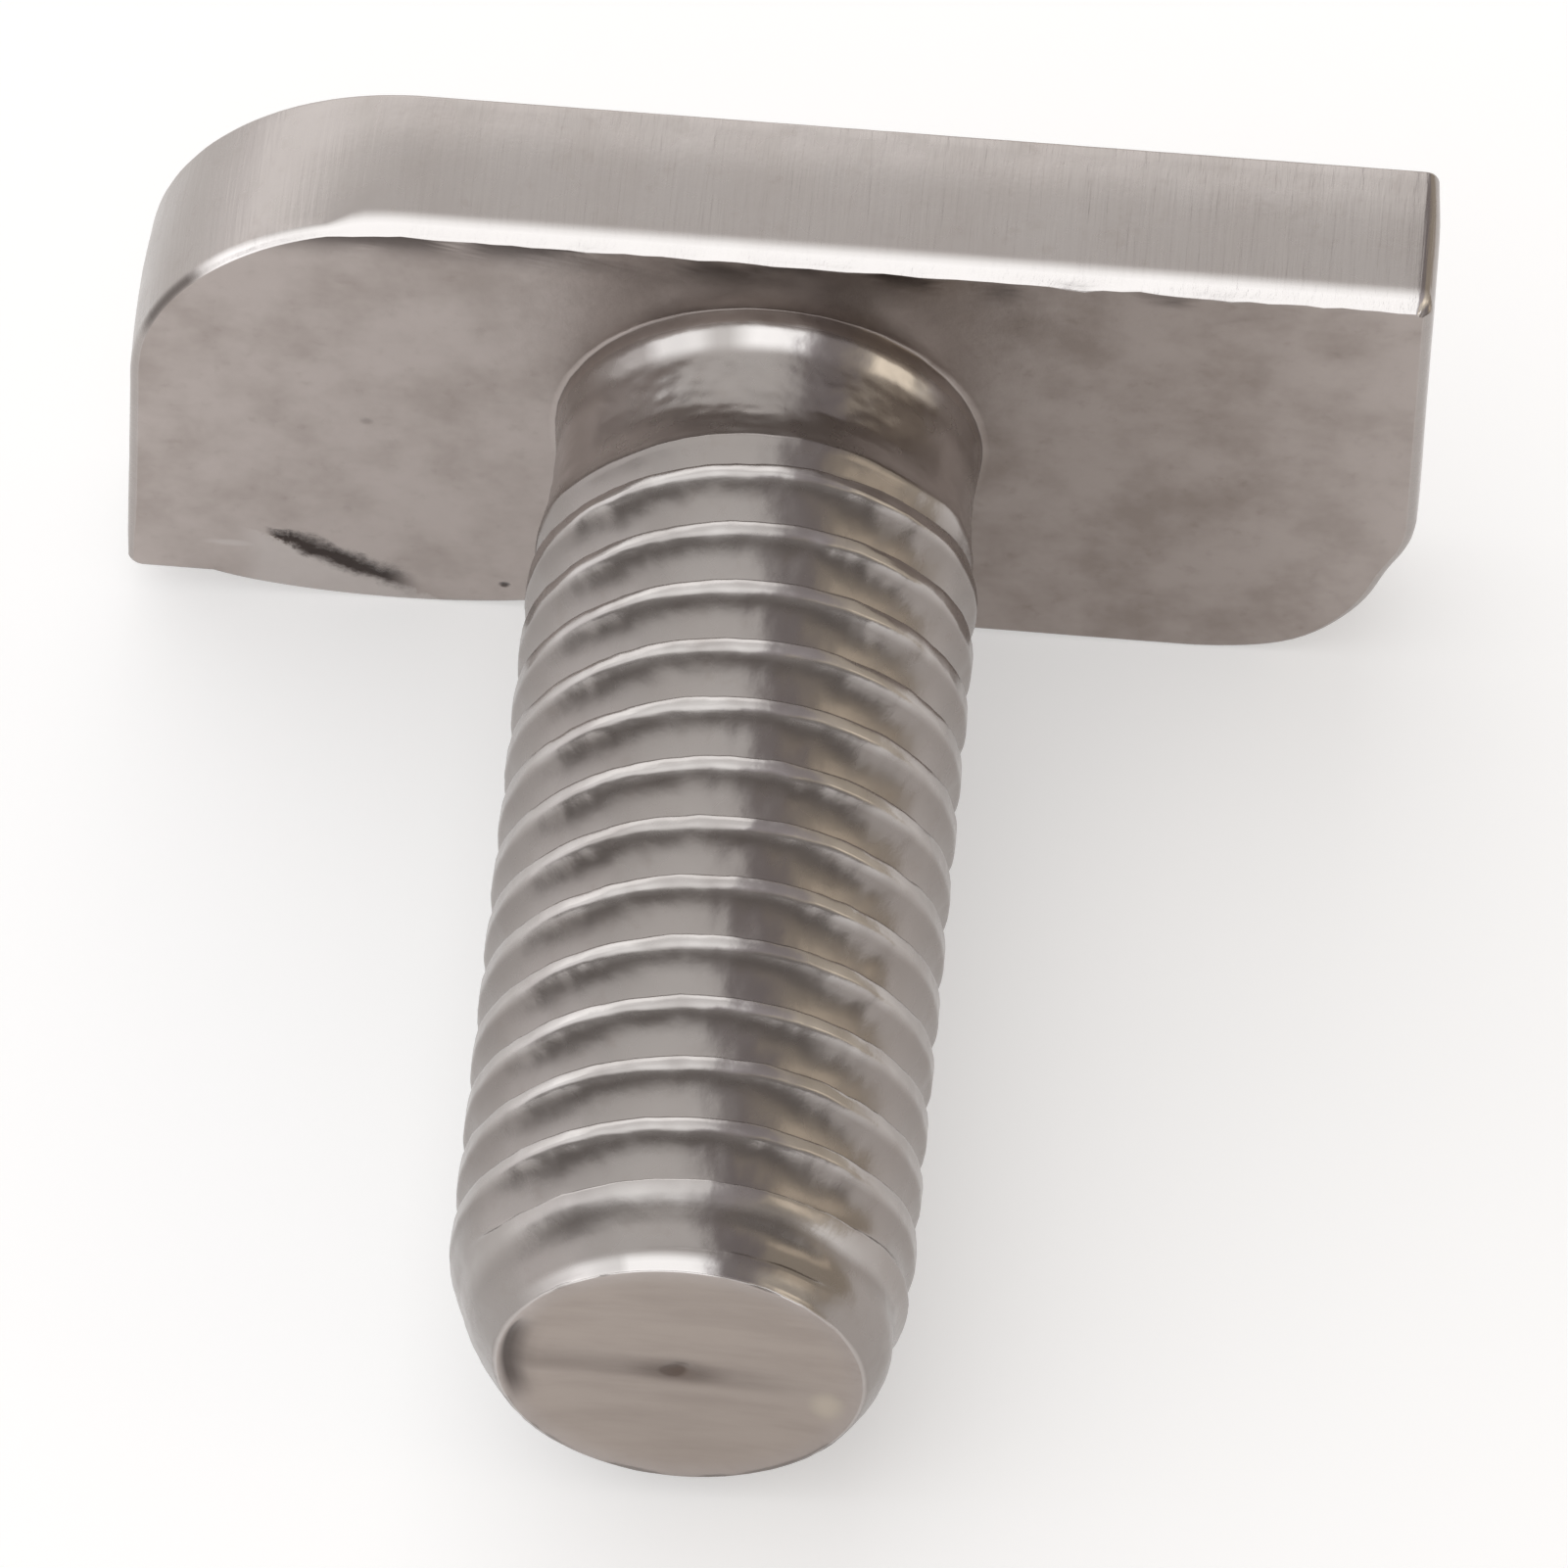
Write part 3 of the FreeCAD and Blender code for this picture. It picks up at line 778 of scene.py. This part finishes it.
    def _add_flank(self, skin: RingSkin, edge: np.ndarray, normals: np.ndarray, top: np.ndarray,
                   bulge: np.ndarray) -> None:
        """Adds the flank, slightly crowned, the back edge and the back.

        Args:
            skin: The skin to add to.
            edge: The outline's points.
            normals: The outward direction at each.
            top: How deep the roll ends at each.
            bulge: How far the flash stands out at each point.
        """
        bottom = self.thickness - self.back_break
        for share in (0.0, 0.06, 0.14, 0.25, 0.38, 0.52, 0.66, 0.8, 0.92, 1.0):
            depth = top + (bottom - top) * share
            crown = 0.0197 - 0.035 * (2 * share - 0.75) ** 2 - 0.028 * smooth_step(0.62, 1.0, share)
            back_in = bulge * smooth_step(0.05, 1.1, depth)
            ring = at_height(edge + normals * (crown - back_in)[:, None], -depth)
            ring[:, :2] += normals * (self.waves * grain(ring, 0.8, 11.0))[:, None]
            skin.add(ring, flank=1.0)
        plain = edge - normals * bulge[:, None]
        crown_end = 0.063
        for lean in (0.35, 0.75, 1.15, math.pi / 2):
            inward = self.back_break * (1 - math.cos(lean)) + crown_end
            depth = bottom + self.back_break * math.sin(lean) - 0.004
            ring = at_height(plain - normals * inward, -depth)
            ring[:, :2] += normals * (self.waves * grain(ring, 3.0, 12.0))[:, None]
            skin.add(ring, flank=0.6, face=0.4)
        last = skin.rings[-1]
        for share in (0.97, 0.85, 0.66, 0.44, 0.22, 0.06):
            ring = last.copy()
            ring[:, :2] *= share
            ring[:, 2] += 0.012 * (1 + grain(ring, 0.4, 13.0))
            skin.add(ring, face=1.0)


@dataclass
class TSlotBolt:
    """The whole bolt, one piece of steel."""

    shank: ShankForm = field(default_factory=ShankForm)
    head: HeadForm = field(default_factory=HeadForm)
    place: RestingPlace = field(default_factory=RestingPlace)

    def build(self) -> bpy.types.Object:
        """Makes the bolt's closed skin.

        Returns:
            The bolt as one mesh object.
        """
        plan, _ = self.head.outline()
        count = len(plan)
        angle = np.arange(count) * TURN / count
        skin = RingSkin(count)
        self.shank.add_to(skin, angle)
        neck = self.shank.ring(angle, 0.0)
        self.head.add_to(skin, neck)
        return skin.build("t_slot_bolt_skin", self.place)


class NodeDesk:
    """A short way to lay and join shader nodes."""

    def __init__(self, tree: bpy.types.NodeTree) -> None:
        """Keeps the tree and empties it.

        Args:
            tree: The node tree to work in.
        """
        self.tree = tree
        tree.nodes.clear()

    def node(self, kind: str, **values: object) -> bpy.types.Node:
        """Lays a node.

        Args:
            kind: The node's type without the leading ShaderNode.
            values: Its properties by name.

        Returns:
            The new node.
        """
        node = self.tree.nodes.new("ShaderNode" + kind)
        for name, value in values.items():
            setattr(node, name, value)
        return node

    def feed(self, socket: bpy.types.NodeSocket, value: object) -> None:
        """Joins a socket to another node's output, or sets it to a plain value.

        Args:
            socket: The input to set.
            value: An output socket, a number or a tuple.
        """
        if isinstance(value, bpy.types.NodeSocket):
            self.tree.links.new(value, socket)
        else:
            socket.default_value = value

    def fill(self, node: bpy.types.Node, *values: object) -> bpy.types.Node:
        """Feeds a node's first inputs in order.

        Args:
            node: The node to feed.
            values: What goes into its inputs.

        Returns:
            The same node.
        """
        for socket, value in zip(node.inputs, values):
            self.feed(socket, value)
        return node

    def maths(self, kind: str, *values: object) -> bpy.types.NodeSocket:
        """A plain operation on numbers, with its inputs in order."""
        return self.fill(self.node("Math", operation=kind), *values).outputs[0]

    def times(self, first: object, second: object) -> bpy.types.NodeSocket:
        """The product of two numbers."""
        return self.maths("MULTIPLY", first, second)

    def times_plus(self, first: object, second: object, third: object) -> bpy.types.NodeSocket:
        """The product of two numbers, and a third added."""
        return self.maths("MULTIPLY_ADD", first, second, third)

    def greater(self, first: object, second: object) -> bpy.types.NodeSocket:
        """The greater of two numbers."""
        return self.maths("MAXIMUM", first, second)

    def layered(self, start: object, *layers: Tuple[object, float]) -> object:
        """A value with layers added to it.

        Args:
            start: The value at the start.
            layers: What is added, each with its strength.

        Returns:
            The sum's socket.
        """
        total = start
        for layer, strength in layers:
            total = self.times_plus(layer, strength, total)
        return total

    def vector(self, kind: str, *values: object) -> bpy.types.Node:
        """A plain operation on vectors, with its inputs in order."""
        return self.fill(self.node("VectorMath", operation=kind), *values)

    def parts(self, where: object) -> Tuple[bpy.types.NodeSocket, ...]:
        """A vector's three numbers."""
        return tuple(self.fill(self.node("SeparateXYZ"), where).outputs)

    def ramp(self, value: object, low: float, high: float, start: float = 0.0,
             end: float = 1.0) -> bpy.types.NodeSocket:
        """A smooth rise from one value to another.

        Args:
            value: What is measured.
            low: Where the rise starts.
            high: Where it ends.
            start: The result at the start.
            end: The result at the end.

        Returns:
            The result's socket.
        """
        node = self.node("MapRange", interpolation_type="SMOOTHSTEP")
        return self.fill(node, value, low, high, start, end).outputs[0]

    def mix(self, share: object, first: object, second: object) -> bpy.types.NodeSocket:
        """A mix of two colours.

        Args:
            share: How much of the second there is.
            first: The first colour.
            second: The second colour.

        Returns:
            The mixed colour's socket.
        """
        node = self.node("Mix", data_type="RGBA")
        self.feed(node.inputs[0], share)
        for socket, colour in zip(node.inputs[6:8], (first, second)):
            self.feed(socket, colour if isinstance(colour, bpy.types.NodeSocket) else (*colour, 1.0))
        return node.outputs[2]

    def mark(self, name: str, vector: bool = False) -> bpy.types.NodeSocket:
        """One of the skin's marks, or its own place in millimetres.

        Args:
            name: The mark's name.
            vector: Whether it is a place and not a number.

        Returns:
            Its socket.
        """
        node = self.node("Attribute", attribute_name=name)
        return node.outputs["Vector" if vector else "Fac"]

    def cloud(self, where: object, stretch: Tuple[float, float, float], detail: float,
              rough: float = 0.5) -> bpy.types.NodeSocket:
        """Noise, stretched along the bolt's axes.

        Args:
            where: The place socket.
            stretch: How many waves fit in a millimetre along each axis.
            detail: How many finer layers it has.
            rough: How strong the finer layers are.

        Returns:
            The noise's socket, about 0.5 on average.
        """
        scaled = self.node("Mapping", vector_type="POINT")
        self.feed(scaled.inputs["Vector"], where)
        scaled.inputs["Scale"].default_value = stretch
        node = self.node("TexNoise")
        self.feed(node.inputs["Vector"], scaled.outputs[0])
        node.inputs["Scale"].default_value = 1.0
        node.inputs["Detail"].default_value = detail
        node.inputs["Roughness"].default_value = rough
        return node.outputs[0]

    def spot(self, where: object, centre: Tuple[float, float, float],
             size: Tuple[float, float, float]) -> bpy.types.NodeSocket:
        """A soft round spot about one place.

        Args:
            where: The place socket.
            centre: The spot's centre.
            size: How far it reaches along each axis.

        Returns:
            Its strength, 1 in the middle and 0 outside.
        """
        off = self.vector("SUBTRACT", where, centre).outputs[0]
        scaled = self.vector("DIVIDE", off, size).outputs[0]
        return self.ramp(self.vector("LENGTH", scaled).outputs["Value"], 1.0, 0.25)


@dataclass(frozen=True)
class FormedSteel:
    """Bare stainless steel as it leaves the dies: satin, a little warm, mottled on the faces, with painted
    shade and painted highlights in its colour.
    """

    name: str = "formed_steel"
    clean: Colour = (0.400, 0.368, 0.351)
    faced: Colour = (0.470, 0.418, 0.394)
    stain_and_shade: Colour = (0.290, 0.246, 0.222)
    grooved: Colour = (0.360, 0.333, 0.318)
    burnished: Colour = (0.920, 0.893, 0.882)
    lip: Colour = (0.56, 0.52, 0.50)
    end_tint: Colour = (0.400, 0.346, 0.311)
    end_dark: Colour = (0.13, 0.10, 0.085)
    end_glint: Colour = (0.56, 0.50, 0.41)
    shadowed: Colour = (0.050, 0.038, 0.034)
    smooth_roughness: float = 0.27
    face_roughness: float = 0.36

    def make(self) -> bpy.types.Material:
        """Makes the material.

        Returns:
            The finished material.
        """
        material = bpy.data.materials.new(self.name)
        material.use_nodes = True
        desk = NodeDesk(material.node_tree)
        place = desk.mark("bolt_mm", vector=True)
        face, flank = desk.mark("face"), desk.mark("flank")
        rolled, crease = desk.mark("rolled"), desk.mark("crease")
        shader = desk.node("BsdfPrincipled")
        shader.inputs["Metallic"].default_value = 1.0
        patches = desk.cloud(place, (0.42, 0.42, 0.42), 4.0, 0.62)
        specks = desk.cloud(place, (2.6, 2.6, 2.6), 3.0, 0.6)
        stain = desk.times(desk.ramp(patches, 0.38, 0.72), desk.times_plus(face, 0.38, 0.18))
        stain_and_shade_share = desk.maths("ADD", stain, desk.times(desk.ramp(specks, 0.55, 0.8), 0.22))
        fold, lit = self._fold(desk, place)
        across = desk.parts(place)[0]
        # Painted shade: the bearing face darker towards the head's right end, fading at the far end.
        right = desk.times(desk.ramp(across, -1.0, 4.0), desk.ramp(across, 12.5, 7.0))
        stain_and_shade_share = desk.times_plus(desk.times(right, face), 0.48, stain_and_shade_share)
        colour = desk.mix(face, desk.mix(rolled, self.clean, self.grooved), self.faced)
        colour = desk.mix(desk.maths("MINIMUM", stain_and_shade_share, 1.0), colour, self.stain_and_shade)
        # Painted shade: the shank darker towards its right side.
        side = desk.times(desk.ramp(across, 1.6, 3.4), rolled)
        colour = desk.mix(desk.times(side, 0.3), colour, self.stain_and_shade)
        # Burnish and painted highlights lighten the colour.
        burnish_highlight_share = desk.mark("burnished")
        colour = desk.mix(burnish_highlight_share, colour, self.burnished)
        colour = desk.mix(desk.times(lit, 0.6), colour, self.lip)
        colour = self._end_colour(desk, place, colour)
        # Painted shade in recesses, at junctions, under crests, in the fold and the pit.
        painted_dark = desk.greater(desk.times(crease, 0.95), fold)
        colour = desk.mix(painted_dark, colour, self.shadowed)
        desk.feed(shader.inputs["Base Color"], colour)
        rougher = self.face_roughness - self.smooth_roughness
        satin = desk.times_plus(face, rougher, self.smooth_roughness)
        wander = desk.times_plus(desk.cloud(place, (1.3, 1.3, 1.3), 3.0), 0.16, -0.08)
        satin = desk.times_plus(burnish_highlight_share, -0.07, desk.maths("ADD", satin, wander))
        desk.feed(shader.inputs["Roughness"], satin)
        self._relief(desk, shader, place, flank, face, rolled, fold)
        out = desk.node("OutputMaterial")
        desk.feed(out.inputs["Surface"], shader.outputs[0])
        return material

    def _fold(self, desk: NodeDesk,
              place: bpy.types.NodeSocket) -> Tuple[bpy.types.NodeSocket, bpy.types.NodeSocket]:
        """Finds the fold and the pit beside the flash, darkened as painted shade, a small dark speck, and
        the bright lip below the fold.

        Args:
            desk: The material's node desk.
            place: The place in millimetres.

        Returns:
            The painted shade in the fold and the pit, with the speck, and how bright the lip is, each from 0
            to 1.
        """
        across, up, deep = desk.parts(place)
        slope, offset, upright = -0.522, -8.490, 0.886
        ragged = desk.times_plus(desk.cloud(place, (2.2, 2.2, 2.2), 4.0, 0.7), 0.56, -0.28)
        line = desk.times_plus(across, slope, offset)
        off = desk.maths("ADD", desk.times(desk.maths("SUBTRACT", up, line), upright), ragged)
        wide = desk.ramp(across, -8.9, -8.0, 0.10, 0.34)
        inside = desk.maths("DIVIDE", desk.maths("ABSOLUTE", off), wide)
        run = desk.times(desk.ramp(across, -9.0, -8.7), desk.ramp(across, -6.10, -6.85))
        on_face = desk.times(desk.ramp(deep, -0.30, -0.18), desk.ramp(deep, 0.3, 0.2))
        fold = desk.times(desk.ramp(inside, 1.25, 0.15), desk.times(run, on_face))
        pit = desk.times(desk.spot(place, (-4.67, -4.93, 0.0), (0.13, 0.10, 0.3)), 0.85)
        speck = desk.times(desk.spot(place, (-7.11, -0.37, 0.0), (0.16, 0.13, 0.3)), 0.25)
        below = desk.times(desk.ramp(off, -0.08, -0.20), desk.ramp(across, -9.6, -8.9))
        below = desk.times(below, desk.times(desk.ramp(across, -5.2, -6.4), on_face))
        sliver = desk.spot(place, (-9.5, -4.28, 0.0), (0.75, 0.13, 0.3))
        return desk.greater(fold, desk.greater(pit, speck)), desk.greater(below, sliver)

    def _end_colour(self, desk: NodeDesk, place: bpy.types.NodeSocket,
                    colour: bpy.types.NodeSocket) -> bpy.types.NodeSocket:
        """Gives the tip's end face its browner tone, its streaks, a darker band along its crease, painted
        shade in and around its dimple, and a painted glint.

        Args:
            desk: The material's node desk.
            place: The place in millimetres.
            colour: The colour so far.

        Returns:
            The colour with the end face in it.
        """
        across, up, _ = desk.parts(place)
        streaks = desk.ramp(desk.cloud(place, (0.35, 1.7, 1.0), 3.0, 0.6), 0.36, 0.72)
        below = desk.maths("ADD", desk.times_plus(across, 0.085, up), 0.55)
        band = desk.times(desk.ramp(below, -0.10, 0.22), desk.ramp(below, 1.05, 0.25))
        band = desk.times(band, desk.ramp(across, 2.6, 0.4))
        # Painted shade in and around the dimple.
        dimple = desk.spot(place, (0.02, -0.16, 19.7), (0.30, 0.26, 0.5))
        around = desk.spot(place, (0.10, -0.16, 19.7), (1.10, 0.60, 0.7))
        darkening = desk.layered(desk.times(streaks, 0.16), (band, 0.38), (around, 0.36), (dimple, 0.50))
        tone = desk.mix(darkening, self.end_tint, self.end_dark)
        # A painted glint low on the right of the end face.
        glint = desk.spot(place, (2.66, -0.78, 19.8), (0.42, 0.55, 0.5))
        tone = desk.mix(desk.times(glint, 0.55), tone, self.end_glint)
        return desk.mix(desk.mark("end"), colour, tone)

    def _relief(self, desk: NodeDesk, shader: bpy.types.Node, place: bpy.types.NodeSocket,
                flank: bpy.types.NodeSocket, face: bpy.types.NodeSocket,
                rolled: bpy.types.NodeSocket, fold: bpy.types.NodeSocket) -> None:
        """Adds the fine relief: shear lines across the flank, pits on the faces, a grain all over.

        Args:
            desk: The material's node desk.
            shader: The surface shader.
            place: The place in millimetres.
            flank: How much a point is on the flank.
            face: How much a point is on a flat face.
            rolled: How much a point is on the rolled shank.
            fold: How deep a point is in the fold.
        """
        lines = desk.times(desk.cloud(place, (7.5, 7.5, 0.28), 3.0, 0.65), flank)
        dents = desk.times(desk.cloud(place, (1.5, 1.5, 1.5), 4.0, 0.6), face)
        ripple = desk.times(desk.cloud(place, (2.2, 2.2, 2.2), 3.0, 0.55), rolled)
        fine = desk.cloud(place, (9.0, 9.0, 9.0), 1.0)
        height = desk.layered(desk.times(lines, 0.9), (dents, 1.1), (ripple, 0.5), (fine, 0.10),
                              (fold, -4.0))
        bump = desk.node("Bump")
        bump.inputs["Strength"].default_value = 1.0
        bump.inputs["Distance"].default_value = 0.012 * MM
        desk.feed(bump.inputs["Height"], height)
        desk.feed(shader.inputs["Normal"], bump.outputs["Normal"])


@dataclass(frozen=True)
class Wall:
    """One side of the studio, told from the next by how far a direction leans to the right."""

    colour: Colour
    from_lean: float
    to_lean: float


@dataclass(frozen=True)
class Softbox:
    """A soft lamp overhead: where it starts and ends, leaning right and leaning back."""

    colour: Colour
    right: Tuple[float, float]
    back: Tuple[float, float]
    edge: float = 0.20


@dataclass(frozen=True)
class Window:
    """A round soft light low at one side."""

    colour: Colour
    towards: Tuple[float, float, float]
    inner_deg: float
    outer_deg: float


@dataclass
class Studio:
    """A plain pale table under soft light: bright overhead and behind, dim in front."""

    left: Colour = (1.18, 1.16, 1.16)
    walls: Tuple[Wall, ...] = (
        Wall((0.92, 0.91, 0.90), -2.2, -0.7),
        Wall((0.33, 0.30, 0.31), 0.22, 0.32),
        Wall((0.58, 0.52, 0.435), 0.80, 1.20),
    )
    front: Colour = (0.25, 0.23, 0.22)
    lamps: Tuple[Softbox, ...] = (
        Softbox((1.55, 1.54, 1.53), (-3.00, 0.26), (0.84, 4.00)),
        Softbox((1.06, 1.05, 1.04), (-1.00, 0.26), (-1.25, 0.42)),
        Softbox((1.08, 1.07, 1.06), (-0.60, 0.26), (-0.95, 0.02)),
    )
    windows: Tuple[Window, ...] = (Window((1.08, 0.95, 0.77), (0.89, -0.18, 0.41), 8, 14),)
    floor_colour: Colour = (0.72, 0.72, 0.72)
    floor_glow: float = 0.42
    floor_half: float = 3.0
    horizon: float = 0.03

    def _world(self) -> None:
        """Lights the scene by a world of walls, soft lamps overhead and a low window."""
        world = bpy.data.worlds.new("studio")
        bpy.context.scene.world = world
        world.use_nodes = True
        desk = NodeDesk(world.node_tree)
        way = desk.node("TexCoord").outputs["Generated"]
        across, along, up = desk.parts(way)
        height = desk.greater(up, self.horizon)
        right, back = desk.maths("DIVIDE", across, height), desk.maths("DIVIDE", along, height)
        base = desk.node("RGB")
        base.outputs[0].default_value = (*self.left, 1.0)
        total: bpy.types.NodeSocket = base.outputs[0]
        for wall in self.walls:
            total = desk.mix(desk.ramp(right, wall.from_lean, wall.to_lean), total, wall.colour)
        low_front = desk.times(desk.ramp(along, -0.25, -0.75), desk.ramp(up, 0.55, 0.25))
        total = desk.mix(low_front, total, self.front)
        for lamp in self.lamps:
            sides = desk.times(self._between(desk, right, lamp.right, lamp.edge),
                               self._between(desk, back, lamp.back, lamp.edge))
            total = desk.mix(sides, total, lamp.colour)
        for window in self.windows:
            dot = desk.vector("DOT_PRODUCT", way, tuple(Vector(window.towards).normalized()))
            outer, inner = (math.cos(math.radians(size)) for size in (window.outer_deg, window.inner_deg))
            total = desk.mix(desk.ramp(dot.outputs["Value"], outer, inner), total, window.colour)
        lit = desk.node("Background")
        desk.feed(lit.inputs["Color"], total)
        desk.feed(desk.node("OutputWorld").inputs["Surface"], lit.outputs[0])

    @staticmethod
    def _between(desk: NodeDesk, value: bpy.types.NodeSocket, span: Tuple[float, float],
                 edge: float) -> bpy.types.NodeSocket:
        """How much a value lies between two limits, with soft edges.

        Args:
            desk: The world's node desk.
            value: The value.
            span: The lower and the upper limit.
            edge: How wide the soft edges are.

        Returns:
            A share from 0 to 1.
        """
        return desk.times(desk.ramp(value, span[0] - edge / 2, span[0] + edge / 2),
                          desk.ramp(value, span[1] + edge / 2, span[1] - edge / 2))

    def _floor(self) -> None:
        """Lays the plain pale table, which glows a little to the eye and to the metal, and keeps shadows."""
        half = self.floor_half
        corners = [(-half, -half, 0), (half, -half, 0), (half, half, 0), (-half, half, 0)]
        mesh = bpy.data.meshes.new("table_top")
        mesh.from_pydata(corners, [], [(0, 1, 2, 3)])
        table = put("table_top", mesh)
        material = bpy.data.materials.new("table_white")
        material.use_nodes = True
        desk = NodeDesk(material.node_tree)
        matt = desk.node("BsdfDiffuse")
        matt.inputs["Color"].default_value = (*self.floor_colour, 1.0)
        path = desk.node("LightPath")
        seen = desk.greater(path.outputs["Is Camera Ray"], path.outputs["Is Glossy Ray"])
        seen = desk.greater(seen, path.outputs["Is Transmission Ray"])
        glow = desk.node("Emission")
        desk.feed(glow.inputs["Strength"], desk.times(seen, self.floor_glow))
        both = desk.fill(desk.node("AddShader"), matt.outputs[0], glow.outputs[0])
        desk.feed(desk.node("OutputMaterial").inputs["Surface"], both.outputs[0])
        mesh.materials.append(material)

    def build(self) -> None:
        """Makes the light and the table."""
        self._world()
        self._floor()


@dataclass(frozen=True)
class PhotoCamera:
    """The camera where the photograph was taken from, as fitted to its outline."""

    eye_mm: Tuple[float, float, float] = (18.145100, -176.801132, 213.434682)
    right: Tuple[float, float, float] = (0.99637711, 0.08438534, -0.01057171)
    up: Tuple[float, float, float] = (-0.05728543, 0.75782009, 0.64994392)
    back: Tuple[float, float, float] = (0.06285719, -0.64698364, 0.75990864)
    focal_px: float = 16169.84
    frame_px: float = 1601.0
    sensor_mm: float = 36.0

    def build(self) -> None:
        """Makes the camera and hands the scene to it."""
        data = bpy.data.cameras.new("photo_camera")
        data.sensor_width = self.sensor_mm
        data.lens = self.focal_px / self.frame_px * self.sensor_mm
        data.clip_start, data.clip_end = 0.01, 20.0
        camera = put("photo_camera", data)
        turn = Matrix((self.right, self.up, self.back)).transposed()
        camera.matrix_world = Matrix.Translation(Vector(self.eye_mm) * MM) @ turn.to_4x4()
        bpy.context.scene.camera = camera


def plain(box: Tuple[Vector, Vector]) -> List[List[float]]:
    return [[float(value) for value in corner] for corner in box]


def main() -> None:
    """Builds the bolt, its finish, the light, the table and the camera."""
    logging.basicConfig(level=logging.INFO, format="%(name)s: %(message)s")
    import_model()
    bpy.context.scene.view_settings.view_transform = "Standard"
    steel = FormedSteel().make()
    bolt = TSlotBolt().build()
    bolt.data.materials.append(steel)
    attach(bolt, "root")
    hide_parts("t_slot_bolt")
    LOG.info("bolt: %d points, %d faces", len(bolt.data.vertices), len(bolt.data.polygons))
    Studio().build()
    PhotoCamera().build()
    LOG.info("light, table and camera are set")


if __name__ == "__main__":
    main()
